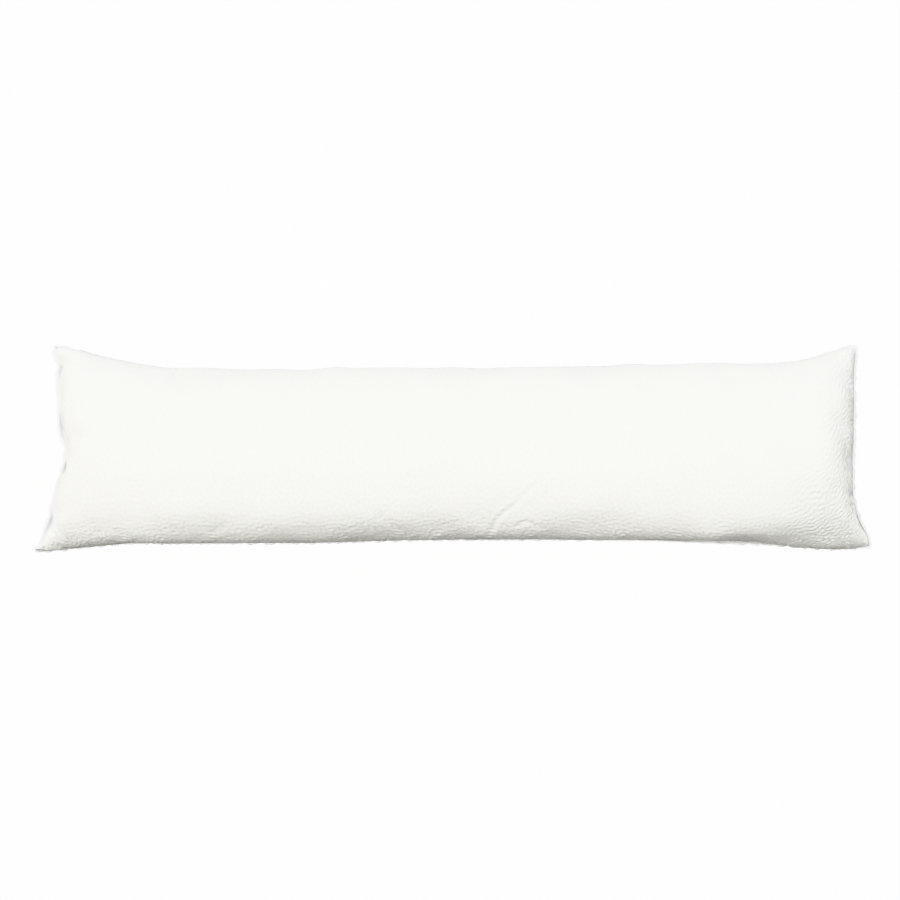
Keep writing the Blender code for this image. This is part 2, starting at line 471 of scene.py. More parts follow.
@dataclass
class CoverCut:
    """The flat shape that both panels are cut to, and how closely points lie on it."""

    length: float = 1.372
    width: float = 0.400
    dense_rows: int = 1201
    dense_strips: int = 241

    def places(self, size: float, step: float, seam_step: float, reach: float) -> np.ndarray:
        """Places across the cut for lines of points, closer together beside the two seams.

        Args:
            size: how far it is from seam to seam.
            step: the gap between lines in the body.
            seam_step: the gap between them at a seam.
            reach: how far in from a seam they are close.

        Returns:
            Rising shares of the size, from 0 to 1.
        """
        fine = np.linspace(0.0, size, SAMPLES)
        to_seam = np.minimum(fine, size - fine)
        density = 1 / step + bell(to_seam, reach) * (1 / seam_step - 1 / step)
        lines = np.concatenate([[0], np.cumsum((density[1:] + density[:-1]) / 2 * np.diff(fine))])
        count = round(lines[-1])
        return np.interp(np.linspace(0, lines[-1], count + 1), lines, fine) / size

    def laid_on(self, form: FilledForm, panel: Panel, along: np.ndarray, across: np.ndarray) -> np.ndarray:
        """The panel's points where the cut lies on the filled shape.

        Args:
            form: the filled shape.
            panel: which panel.
            along: shares of the cut's length.
            across: shares of the cut's width.

        Returns:
            The points, a row for each place along the cut.
        """
        turn = np.linspace(0, math.pi, self.dense_rows)[:, None]
        station = form.left_end + (form.right_end - form.left_end) * (1 - np.cos(turn)) / 2
        dense = form.surface(panel, station, np.linspace(0, 1, self.dense_strips)[None, :])
        rows = spread_evenly(dense, along)
        return spread_evenly(rows.swapaxes(0, 1), across).swapaxes(0, 1)


@dataclass
class PressureSimulation:
    """Lets the sewn cover settle under the filling's pressure, to find how it gathers."""

    step: float = 0.010
    frames: int = 20
    pressure: float = 5.0
    tension: float = 20.0
    bending: float = 0.4
    vertex_mass: float = 0.05
    quality: int = 6

    def run(self, cut: CoverCut, form: FilledForm) -> dict[Panel, np.ndarray]:
        """Simulates both panels, joined at their seam.

        Args:
            cut: the flat cut, which gives every thread its rest length.
            form: the filled shape, which the cover starts from.

        Returns:
            How far each point of a coarse grid on each panel moved.
        """
        rows = round(cut.length / self.step)
        strips = round(cut.width / self.step)
        along, across = np.linspace(0, 1, rows + 1), np.linspace(0, 1, strips + 1)
        start = {panel: cut.laid_on(form, panel, along, across) for panel in Panel}
        flat = np.zeros((rows + 1, strips + 1, 3))
        flat[..., 0] = cut.length * along[:, None]
        flat[..., 1] = cut.width * across[None, :]

        upper = np.arange((rows + 1) * (strips + 1)).reshape(rows + 1, strips + 1)
        lower = upper.copy()
        lower[1:-1, 1:-1] = upper.size + np.arange((rows - 1) * (strips - 1)).reshape(rows - 1, -1)
        numbers = {Panel.UPPER: upper, Panel.LOWER: lower}
        count = int(lower.max()) + 1
        points, rest = np.zeros((count, 3)), np.zeros((count, 3))
        for panel in (Panel.LOWER, Panel.UPPER):
            points[numbers[panel]] = start[panel]
            rest[numbers[panel]] = flat
        seam = (start[Panel.UPPER] + start[Panel.LOWER]) / 2
        rim = np.ones(upper.shape, bool)
        rim[1:-1, 1:-1] = False
        points[upper[rim]] = seam[rim]

        faces = [grid_faces(number)[:, :: panel.value] for panel, number in numbers.items()]
        moved = self.settle(points, rest, np.concatenate(faces)) - points
        return {panel: moved[number] for panel, number in numbers.items()}

    def settle(self, points: np.ndarray, rest: np.ndarray, faces: np.ndarray) -> np.ndarray:
        """Runs the cloth and takes the points where it comes to lie.

        Args:
            points: where the cover starts.
            rest: the same points on the flat cut.
            faces: four points for each face.

        Returns:
            The points after the last frame.
        """
        scene = bpy.context.scene
        mesh = bpy.data.meshes.new("cover_under_pressure")
        mesh.from_pydata(points.tolist(), [], faces.tolist())
        cover = in_scene("cover_under_pressure", mesh)
        cover.shape_key_add(name="filled")
        key = cover.shape_key_add(name="flat")
        key.data.foreach_set("co", rest.astype(np.float32).ravel())
        key.value = 0.0
        cloth = cover.modifiers.new("pressure", "CLOTH")
        settings = cloth.settings
        settings.quality = self.quality
        settings.mass = self.vertex_mass
        settings.tension_stiffness = self.tension
        settings.compression_stiffness = self.tension
        settings.shear_stiffness = self.tension / 2
        settings.bending_stiffness = self.bending
        settings.use_pressure = True
        settings.uniform_pressure_force = self.pressure
        settings.rest_shape_key = key
        settings.effector_weights.gravity = 0.0
        cloth.point_cache.frame_start = 1
        cloth.point_cache.frame_end = self.frames
        for number in range(1, self.frames + 1):
            scene.frame_set(number)
        settled = cover.evaluated_get(bpy.context.evaluated_depsgraph_get())
        found = np.empty(len(points) * 3, np.float32)
        settled.data.vertices.foreach_get("co", found)
        bpy.data.objects.remove(cover, do_unlink=True)
        bpy.data.meshes.remove(mesh)
        scene.frame_set(1)
        return found.reshape(-1, 3).astype(float)


@dataclass
class RippleRelief:
    """The raised ripple of the double knit: short curved ridges that cross at a low angle."""

    pitches: tuple[tuple[float, float], ...] = ((0.0076, 0.0088), (0.0074, 0.0074))
    taut_depth: float = 0.0006
    near_depth: float = 0.0028
    near_slack: float = 0.165
    near_power: int = 3
    near_gain: float = 0.25
    gain_from: float = 0.55
    gain_rise: float = 0.40
    right_depth: float = 0.0027
    right_slack: float = 0.220
    left_share: float = 0.5
    left_reach: float = 0.090
    headings: tuple[float, float] = (math.radians(112), math.radians(62))
    fans: tuple[float, float] = (math.radians(100), math.radians(65))
    pitch_spread: float = 0.24
    cross_over: tuple[float, float] = (0.95, 1.33)
    repeat: float = 0.144
    resolution: float = 0.0005
    sway: float = 0.0045
    sway_phases: tuple[float, float] = (1.0, 2.0)
    sharpness: float = 2.0
    ridge_bias: float = 0.45
    seed: int = 41

    def repeat_tile(self, pitch: tuple[float, float], heading: float, fan: float, seed: int) -> np.ndarray:
        """One repeat of the waves that run one way.

        Args:
            pitch: their length along the cut and across it.
            heading: the ridges' angle to the cut's length.
            fan: how far they stray from it.
            seed: which waves.

        Returns:
            The waves on a square grid, with a spread of 1.
        """
        count = round(self.repeat / self.resolution)
        noise = np.random.default_rng(seed).standard_normal((count, count))
        rate = np.fft.fftfreq(count, self.resolution)
        along, across = rate[:, None], rate[None, :]
        ring = bell(np.hypot(along * pitch[0], across * pitch[1]) - 1, self.pitch_spread)
        off_heading = np.arctan2(across, along) - (heading + math.pi / 2)
        turned = np.angle(np.exp(2j * off_heading)) / 2
        waves = np.fft.ifft2(np.fft.fft2(noise) * ring * bell(turned, fan)).real
        return waves / waves.std()

    def depth(self, to_left: np.ndarray, to_right: np.ndarray, to_near: np.ndarray) -> np.ndarray:
        """How deep the ripple is: the filling stretches it flat, but for the near side and right end.

        Args:
            to_left: how far each place is from the left seam.
            to_right: how far it is from the right seam.
            to_near: how far it is from the near seam.

        Returns:
            The depth from groove to ridge at each place.
        """
        by_left = self.left_share + (1 - self.left_share) * eased(to_left / self.left_reach)
        gain = by_left * (1 + self.near_gain * eased((to_left - self.gain_from) / self.gain_rise))
        slack = np.clip(1 - to_near / self.near_slack, 0, 1) ** self.near_power
        near = (self.near_depth - self.taut_depth) * slack * gain
        right = (self.right_depth - self.taut_depth) * eased(1 - to_right / self.right_slack)
        return self.taut_depth + np.maximum(near, right)

    def height(self, along: np.ndarray, across: np.ndarray) -> np.ndarray:
        """How high the ripple stands.

        Args:
            along: places along the flat cut, in metres, as a column.
            across: places across it, as a row.

        Returns:
            The height at each place, from 0 to 1.
        """
        turn = 2 * math.pi / self.repeat
        x = along + self.sway * np.sin(2 * turn * across + self.sway_phases[0]) + 0 * across
        y = across + self.sway * np.sin(turn * along + self.sway_phases[1]) + 0 * along
        x, y = x / self.resolution, y / self.resolution
        low_x, low_y = np.floor(x).astype(int), np.floor(y).astype(int)
        part_x, part_y = x - low_x, y - low_y
        start, finish = self.cross_over
        over = math.pi / 2 * eased((along - start) / (finish - start))
        waves = 0.0
        for number, share in enumerate((np.cos(over), np.sin(over))):
            way = (self.pitches[number], self.headings[number], self.fans[number])
            tile = self.repeat_tile(*way, self.seed + number)
            count = len(tile)
            for step_x, weight_x in ((0, 1 - part_x), (1, part_x)):
                for step_y, weight_y in ((0, 1 - part_y), (1, part_y)):
                    at = tile[(low_x + step_x) % count, (low_y + step_y) % count]
                    waves = waves + share * weight_x * weight_y * at
        return 1 / (1 + np.exp(-self.sharpness * (waves + self.ridge_bias)))


class Socket:
    """A shader socket that sums and products can be written with."""

    def __init__(self, maker: "NodeMaker", output: bpy.types.NodeSocket | None) -> None:
        """Keeps the socket and the maker that adds nodes beside it."""
        self.maker = maker
        self.output = output

    def other(self, name: str) -> "Socket":
        """Another output of the same node."""
        return Socket(self.maker, self.output.node.outputs[name])

    def math(self, operation: str, *values: Any) -> "Socket":
        """A Math node, with its operation and its inputs in order."""
        return self.maker.node("ShaderNodeMath", {"operation": operation}, dict(enumerate(values)))

    def above_zero(self) -> "Socket":
        """This socket, or 0 where it is below."""
        return self.math("MAXIMUM", self, 0.0)

    def sine(self) -> "Socket":
        """Sine."""
        return self.math("SINE", self)

    def __add__(self, other: Any) -> "Socket":
        """Sum."""
        return self.math("ADD", self, other)

    __radd__ = __add__

    def __mul__(self, other: Any) -> "Socket":
        """Product."""
        return self.math("MULTIPLY", self, other)

    __rmul__ = __mul__

    def __sub__(self, other: Any) -> "Socket":
        """Difference."""
        return self.math("SUBTRACT", self, other)

    def __rsub__(self, other: Any) -> "Socket":
        """Difference, with this socket second."""
        return self.math("SUBTRACT", other, self)

    def __pow__(self, other: Any) -> "Socket":
        """Power."""
        return self.math("POWER", self, other)


class NodeMaker:
    """Adds nodes to a tree, each by its type, its settings and its inputs."""

    def __init__(self, tree: bpy.types.NodeTree) -> None:
        """Starts on a tree."""
        self.tree = tree

    def node(self, kind: str, settings: dict[str, Any] | None = None,
             sockets: dict[Any, Any] | None = None, result: Any = 0) -> Socket:
        """Adds a node.

        Args:
            kind: the node's type.
            settings: what to set on it first.
            sockets: a value or a socket for each input, by name or number.
            result: the output to return, by name or number.

        Returns:
            The output, as a Socket.
        """
        made = self.tree.nodes.new(kind)
        for name, value in (settings or {}).items():
            setattr(made, name, value)
        self.feed(made, sockets or {})
        return Socket(self, made.outputs[result] if len(made.outputs) else None)

    def mixed(self, share: Any, first: Any, second: Any) -> Socket:
        """A Mix node between two colours, all of the second at a share of 1."""
        return self.node(
            "ShaderNodeMix", {"data_type": "RGBA"},
            {MIX_SHARE: share, MIX_FIRST: first, MIX_SECOND: second}, result=MIX_COLOUR)

    def feed(self, made: bpy.types.Node, sockets: dict[Any, Any]) -> None:
        """Links a socket to each of a node's inputs, or sets the input's own value.

        Args:
            made: the node.
            sockets: a value or a socket for each input, by name or number.
        """
        for name, value in sockets.items():
            if isinstance(value, Socket):
                self.tree.links.new(value.output, made.inputs[name])
            else:
                made.inputs[name].default_value = value


def new_material(name: str) -> tuple[bpy.types.Material, NodeMaker, bpy.types.Node]:
    """A material with a node tree.

    Args:
        name: the material's name.

    Returns:
        The material, its tree's maker and its one surface shader.
    """
    material = bpy.data.materials.new(name)
    material.use_nodes = True
    return material, NodeMaker(material.node_tree), material.node_tree.nodes["Principled BSDF"]


@dataclass(frozen=True)
class RippleKnitFinish:
    """The cover's white double knit, with its loops, grooves and faint cloudiness, and painted shade in its
    grooves, in its creases and beside its stitching.
    """

    ridge_colour: tuple[float, float, float, float] = (0.80, 0.80, 0.782, 1.0)
    # Painted shade: the colour of the ripple's grooves, darker than its ridges.
    painted_groove_shade: tuple[float, float, float, float] = (0.72, 0.715, 0.682, 1.0)
    edge_colour: tuple[float, float, float, float] = (0.82, 0.82, 0.838, 1.0)
    # Painted shade, mixed into creases and beside the stitching.
    painted_shade_colour: tuple[float, float, float, float] = (0.45, 0.45, 0.46, 1.0)
    ridge_share: float = 0.85
    cloud_share: float = 0.15
    cloud_size: float = 0.11
    cloud_detail: float = 2.0
    loop_pitch: float = 0.0016
    loops_closer: float = 1.25
    loop_depth: float = 0.00022
    loop_strength: float = 0.6
    roughness: float = 0.88
    groove_roughness: float = 0.08
    sheen: float = 0.04
    sheen_roughness: float = 0.6
    shine: float = 0.25

    def material(self) -> bpy.types.Material:
        """Builds the material.

        Returns:
            The finish of the cover, which reads its attributes and its map of the flat cut.
        """
        material, nodes, shader = new_material("white_ripple_knit")
        relief = nodes.node("ShaderNodeAttribute", {"attribute_name": "ripple"}, result="Fac")
        # The "edge" attribute is 1 on the sewn edge and below 0 where painted shade darkens the cover.
        edge = nodes.node("ShaderNodeAttribute", {"attribute_name": "edge"}, result="Fac")
        place = nodes.node("ShaderNodeTexCoord", result="Object")
        cloud = nodes.node("ShaderNodeTexNoise", {}, {
            "Vector": place, "Scale": 1 / self.cloud_size, "Detail": self.cloud_detail})
        # Painted shade: the colour follows the ripple's height, darker in the grooves, with a faint cloud
        # of the knit's own uneven tone. Where the "edge" attribute is below 0, a dark colour is painted
        # into creases and beside the stitching as shade.
        colour: Any = self.painted_groove_shade
        for share, tint in (
            (relief * self.ridge_share + cloud * self.cloud_share, self.ridge_colour),
            (edge, self.edge_colour),
            (edge * -1.0, self.painted_shade_colour),
        ):
            colour = nodes.mixed(share, colour, tint)

        turns = 2 * math.pi / self.loop_pitch
        cut = nodes.node("ShaderNodeUVMap", {"uv_map": "flat_cut"})
        x = nodes.node("ShaderNodeSeparateXYZ", {}, {"Vector": cut}, result="X")
        loops = (x * turns).sine() * (x.other("Y") * (turns * self.loops_closer)).sine()
        bump = nodes.node("ShaderNodeBump", {}, {
            "Strength": self.loop_strength, "Distance": self.loop_depth, "Height": loops})
        nodes.feed(shader, {
            "Base Color": colour,
            "Roughness": self.roughness + self.groove_roughness * (1 - relief),
            "Normal": bump,
            "Sheen Weight": self.sheen,
            "Sheen Roughness": self.sheen_roughness,
            "Specular IOR Level": self.shine,
        })
        return material


@dataclass(frozen=True)
class SewingThreadFinish:
    """The white thread of the edge seam."""

    colour: tuple[float, float, float, float] = (0.86, 0.86, 0.84, 1.0)
    # Painted shade in the grooves between the plies.
    painted_shade: tuple[float, float, float, float] = (0.74, 0.74, 0.71, 1.0)
    ply_pitch: float = 0.0006
    ply_waver: float = 1.0
    ply_roughness: float = 0.1
    roughness: float = 0.6

    def material(self) -> bpy.types.Material:
        """Builds the material.

        Returns:
            The thread's finish, twisted from plies, with painted shade between them.
        """
        material, nodes, shader = new_material("white_sewing_thread")
        place = nodes.node("ShaderNodeTexCoord", result="Object")
        ply = nodes.node(
            "ShaderNodeTexWave", {"wave_type": "BANDS", "bands_direction": "DIAGONAL"},
            {"Vector": place, "Scale": 1 / self.ply_pitch / (2 * math.pi), "Distortion": self.ply_waver},
            result="Fac",
        )
        # The darker bands are painted shade between the plies.
        colour = nodes.mixed(ply, self.painted_shade, self.colour)
        nodes.feed(shader, {"Base Color": colour, "Roughness": self.roughness + self.ply_roughness * ply})
        return material


@dataclass
class SewnCover:
    """The whole cover: two panels of one cut, and the sewn edge that joins them."""

    form: FilledForm = field(default_factory=FilledForm)
    cut: CoverCut = field(default_factory=CoverCut)
    pressure: PressureSimulation = field(default_factory=PressureSimulation)
    ripple: RippleRelief = field(default_factory=RippleRelief)
    creases: tuple[Crease, ...] = CREASES
    tucks: tuple[Tuck, ...] = TUCKS
    undercut: Undercut = UNDERCUT
    step_along: float = 0.0028
    step_across: float = 0.0015
    seam_step: float = 0.0010
    seam_reach: float = 0.008
    gather_blur: float = 0.045
    gather_most: float = 0.007
    gather_share: tuple[float, float] = (0.8, 0.15)
    lump_height: float = 0.0009
    lump_size: float = 0.085
    lump_range: tuple[float, float] = (0.7, 1.6)
    lump_waves: int = 24
    lump_fade: float = 0.04
    lump_seed: int = 7
    inset: tuple[float, float, float] = (0.0055, 0.0034, 0.0022)
    inset_rise: float = 0.006
    inset_reach: float = 0.055
    stitch_dip: float = 0.0034
    stitch_dip_width: float = 0.0026
    tuck_reach: float = 0.0104
    near_dip_fade: float = 0.03
    lower_dip: float = 0.3
    painted_shade_shares: tuple[float, float, float] = (0.7, 0.6, 0.3)
    painted_shade_width: float = 0.0018
    ripple_fade: float = 0.009
    edge_profile: tuple[tuple[float, float], ...] = (
        (0.0004, -0.0006), (0.0009, 0.0008), (0.0014, 0.0024), (0.0021, 0.0029), (0.0030, 0.0026),
        (0.0038, 0.0016), (0.0043, 0.0001), (0.0040, -0.0010), (0.0025, -0.0014), (0.0009, -0.0012))
    upper_stitches: tuple[float, float] = (0.0021, 0.0030)
    lower_stitches: tuple[float, float] = (0.0015, -0.0009)
    far_stand: float = 0.25
    edge_wave: float = 0.16
    edge_wave_length: float = 0.019
    edge_wave_range: tuple[float, float] = (0.6, 2.0)
    edge_waves: int = 8
    edge_seed: int = 5

    def shares(self) -> tuple[np.ndarray, np.ndarray]:
        """Where the lines of points lie along the cut and across it."""
        return (
            self.cut.places(self.cut.length, self.step_along, self.seam_step, self.seam_reach),
            self.cut.places(self.cut.width, self.step_across, self.seam_step, self.seam_reach),
        )

    def on_cut(self) -> tuple[np.ndarray, np.ndarray]:
        """Where the lines of points lie on the flat cut, in metres, as a column and a row."""
        along, across = self.shares()
        return along[:, None] * self.cut.length, across[None, :] * self.cut.width

    def to_seam(self, x: np.ndarray, y: np.ndarray) -> np.ndarray:
        """How far each point is from the nearest seam, on the flat cut."""
        return np.minimum(np.minimum(x, self.cut.length - x), np.minimum(y, self.cut.width - y))

    def blurred(self, moved: np.ndarray) -> np.ndarray:
        """A coarse grid of moves, smoothed over the gather blur.

        Args:
            moved: how far each point of the grid moved.

        Returns:
            The broad part of those moves.
        """
        reach = math.ceil(2 * self.gather_blur / self.pressure.step)
        weights = bell(np.arange(-reach, reach + 1) * self.pressure.step, self.gather_blur)
        weights /= weights.sum()
        for axis in (0, 1):
            ends = [(0, 0)] * 3
            ends[axis] = (reach, reach)
            wide = np.pad(moved, ends, mode="edge")
            moved = sum(
                weight * np.take(wide, np.arange(step, step + moved.shape[axis]), axis=axis)
                for step, weight in enumerate(weights)
            )
        return moved

    def gathers(self, moved: np.ndarray, along: np.ndarray, across: np.ndarray) -> np.ndarray:
        """The folds that the simulation found, without the swelling that carries them.

        Args:
            moved: how far a coarse grid on the panel moved.
            along: shares of the cut's length to read them at.
            across: shares of its width.

        Returns:
            How far each point of the panel moves.
        """
        fold = moved - self.blurred(moved)
        length = np.linalg.norm(fold, axis=-1, keepdims=True)
        fold *= self.gather_most / np.maximum(length, self.gather_most)
        left, right = self.gather_share
        fold *= left + (right - left) * eased(np.linspace(0, 1, fold.shape[0]))[:, None, None]
        rows = read_between(fold, along * (fold.shape[0] - 1), axis=0)
        return read_between(rows, across * (fold.shape[1] - 1), axis=1)

    def lumps(self, x: np.ndarray, y: np.ndarray) -> np.ndarray:
        """The soft unevenness of the shredded filling under the cover.

        Args:
            x: places along the flat cut, in metres, as a column.
            y: places across it, as a row.

        Returns:
            How far the cover stands out at each place.
        """
        chance = np.random.default_rng(self.lump_seed)
        height = 0 * (x + y)
        for _ in range(self.lump_waves):
            heading, phase = chance.uniform(0, math.pi), chance.uniform(0, 2 * math.pi)
            rate = 2 * math.pi / (self.lump_size * chance.uniform(*self.lump_range))
            height += np.cos(rate * (x * math.cos(heading) + y * math.sin(heading)) + phase)
        return self.lump_height * height / math.sqrt(self.lump_waves / 2)

    def creased(self, panel: Panel, x: np.ndarray, y: np.ndarray) -> tuple[np.ndarray, np.ndarray]:
        """The creases in a panel.

        Args:
            panel: which panel.
            x: places along the flat cut, in metres, as a column.
            y: places across it, as a row.

        Returns:
            How deep they sink in, below 0 where a roll stands beside one, and how much painted shade
            darkens them.
        """
        depth = 0 * (x + y)
        painted_shade = depth.copy()
        for crease in self.creases:
            if crease.panel is not panel:
                continue
            nearest = np.full(depth.shape, np.inf)
            path = np.array(crease.path)
            reach = np.concatenate([[0], np.cumsum(np.linalg.norm(np.diff(path, axis=0), axis=1))])
            strength = np.zeros(depth.shape)
            for start, finish, before, after in zip(path[:-1], path[1:], reach[:-1], reach[1:]):
                way = finish - start
                part = np.clip(((x - start[0]) * way[0] + (y - start[1]) * way[1]) / (way @ way), 0, 1)
                distance = np.hypot(x - start[0] - part * way[0], y - start[1] - part * way[1])
                place = (before + part * (after - before)) / reach[-1]
                closer = distance < nearest
                nearest = np.where(closer, distance, nearest)
                strength = np.where(closer, np.sqrt(np.clip(4 * place * (1 - place), 0, 1)), strength)
            beside = bell(nearest - 2 * crease.width, crease.width)
            depth += crease.depth * strength * (bell(nearest, crease.width) - crease.roll * beside)
            # Painted shade, darkest along the crease's path.
            painted_shade = np.maximum(painted_shade, crease.painted_shade * strength * bell(nearest, crease.width / 2))
        return depth, painted_shade

    def panels(self) -> tuple[dict[Panel, np.ndarray], dict[Panel, np.ndarray], dict[Panel, np.ndarray]]:
        """Both panels, finished.

        Returns:
            Their points, how high the ripple stands at each, and how much painted shade darkens each.
        """
        along, across = self.shares()
        x, y = self.on_cut()
        moved = self.pressure.run(self.cut, self.form)
        to_seam = self.to_seam(x, y)
        fade = eased(to_seam / self.ripple_fade)
        ripple = self.ripple.height(x, y)
        ripple_depth = self.ripple.depth(x, self.cut.length - x, y)
        lumps = self.lumps(x, y) * eased(to_seam / self.lump_fade)
        dip = self.dips(x, y)
        made, heights, painted_shades = {}, {}, {}
        for panel in Panel:
            points = self.cut.laid_on(self.form, panel, along, across)
            if moved is not None:
                points = points + self.gathers(moved[panel], along, across)
            depth, painted_shades[panel] = self.creased(panel, x, y)
            points += (lumps - depth)[..., None] * facing(points, panel)
            if panel is Panel.UPPER:
                points += self.over_flap(x, y) + self.stood_off(x, y)
                # Painted shade beside the upper panel's stitching.
                painted_shades[panel] = np.maximum(painted_shades[panel], self.painted_crevice_shade(x, y))
            heights[panel] = ripple * fade
            rise = ripple_depth * (heights[panel] - fade / 2)
            points += rise[..., None] * facing(points, panel)
            points[..., 2] -= dip if panel is Panel.UPPER else -self.lower_dip * dip
            made[panel] = points
        return made, heights, painted_shades

    def tucked(self, end: End, y: np.ndarray, by_depth: bool = True) -> np.ndarray:
        """How far an end seam is tucked.

        Args:
            end: which end.
            y: places across the flat cut, in metres, as a row.
            by_depth: whether each tuck counts by its depth, or else by 1.

        Returns:
            The sum of its tucks at each place.
        """
        rows = [row for row in self.tucks if row.end is end]
        return sum((row.depth if by_depth else 1.0) * bell(y - row.across, row.length) for row in rows)

    def over_flap(self, x: np.ndarray, y: np.ndarray) -> np.ndarray:
        """Where the filling stands out over the near ear's flap, with a fold sunk in between.

        Args:
            x: places along the flat cut, in metres, as a column.
            y: places across it, as a row.

        Returns:
            How far each point moves.
        """
        row = self.undercut
        part = np.clip((x - row.start) / (row.finish - row.start), 0, 1)
        here = np.sqrt(np.sin(math.pi * part).clip(0, 1))
        fold = bell(y - row.fold_place, row.fold_width)
        stood = eased(y / row.rise) * (1 - eased((y - row.level) / row.fall))
        back = here * (row.back * stood + row.fold * fold)
        return np.stack([0 * back, back, -here * row.deep * fold], axis=-1)

    def stood_off(self, x: np.ndarray, y: np.ndarray) -> np.ndarray:
        """How far the filling stands back from the end seams and the far seam, more at a tuck.

        Args:
            x: places along the flat cut, in metres, as a column.
            y: places across it, as a row.

        Returns:
            How far each point moves.
        """
        left, right, far = self.inset
        moved = np.zeros((x.size, y.size, 3))
        for axis, most, distance in (
            (0, left + self.tucked(End.LEFT, y), x),
            (0, -(right + self.tucked(End.RIGHT, y)), self.cut.length - x),
            (1, -far, self.cut.width - y),
        ):
            fall = eased((distance - self.inset_rise) / self.inset_reach)
            moved[..., axis] += most * (eased(distance / self.inset_rise) * (1 - fall))
        return moved

    def dips(self, x: np.ndarray, y: np.ndarray) -> np.ndarray:
        """How far the cover sinks beside its stitching, more where it is tucked.

        Args:
            x: places along the flat cut, in metres, as a column.
            y: places across it, as a row.

        Returns:
            The depth at each place.
        """
        depth = self.stitch_dip
        for end, to_end in ((End.LEFT, x), (End.RIGHT, self.cut.length - x)):
            depth = depth + self.tucked(end, y) * bell(to_end, self.tuck_reach)
        beside = bell(self.to_seam(x, y) - self.stitch_dip_width, self.stitch_dip_width / 2)
        return depth * (1 - bell(y, self.near_dip_fade)) * beside

    def painted_crevice_shade(self, x: np.ndarray, y: np.ndarray) -> np.ndarray:
        """How much painted shade darkens the upper panel beside its stitching, more at a tuck.

        Args:
            x: places along the flat cut, in metres, as a column.
            y: places across it, as a row.

        Returns:
            The painted shade at each place, from 0 to 1.
        """
        at_left, at_right, at_far = self.painted_shade_shares
        sides = (
            (at_left + self.tucked(End.LEFT, y, by_depth=False), x),
            (at_right + self.tucked(End.RIGHT, y, by_depth=False), self.cut.length - x),
            (at_far, self.cut.width - y),
        )
        shaded = sum(share * bell(gap - self.stitch_dip_width, self.painted_shade_width) for share, gap in sides)
        return shaded.clip(0, 1)

    def rim(self, rows: int, strips: int) -> list[tuple[int, int]]:
        """Grid places round a panel's edge.

        Args:
            rows: the grid's last row.
            strips: its last strip.

        Returns:
            The places, anticlockwise seen from above.
        """
        near = [(i, 0) for i in range(rows)]
        right = [(rows, j) for j in range(strips)]
        far = [(i, strips) for i in range(rows, 0, -1)]
        left = [(0, j) for j in range(strips, 0, -1)]
        return near + right + far + left

    def edge_ring(self, middle: np.ndarray, place: tuple[float, float]) -> np.ndarray:
        """Points round the sewn edge at one place of its profile.

        Args:
            middle: the seam's points, in order round the pillow.
            place: how far out of the seam, and how far above it.

        Returns:
            The ring's points, which wave in and out a little as gathered cloth does.
        """
        run = np.roll(middle, -1, axis=0) - np.roll(middle, 1, axis=0)
        outward = unit(np.stack([run[:, 1], -run[:, 0], np.zeros(len(run))], axis=-1))
        length = np.cumsum(np.linalg.norm(run, axis=1)) / 2
        chance = np.random.default_rng(self.edge_seed)
        wave = np.zeros(len(middle))
        for _ in range(self.edge_waves):
            turns = round(length[-1] / (self.edge_wave_length * chance.uniform(*self.edge_wave_range)))
            wave += np.sin(2 * math.pi * turns * length / length[-1] + chance.uniform(0, 2 * math.pi))
        waved = self.edge_wave * wave[:, None] / math.sqrt(self.edge_waves / 2)
        fullness = 1 + waved + self.far_stand * outward[:, 1:2].clip(0, 1)
        out, up = place
        return middle + out * fullness * outward + up * fullness * np.array([0.0, 0.0, 1.0])


def smooth_piece(
    name: str, points: np.ndarray, faces: np.ndarray, material: bpy.types.Material
) -> bpy.types.Object:
    """An object with a smooth mesh of its own, standing at the origin.

    Args:
        name: the piece's name.
        points: its points.
        faces: the points' numbers for each face, seen anticlockwise from outside.
        material: its finish.

    Returns:
        The object, in the scene.
    """
    mesh = bpy.data.meshes.new(name)
    mesh.from_pydata(points.tolist(), [], faces.tolist())
    mesh.shade_smooth()
    mesh.materials.append(material)
    return in_scene(name, mesh)


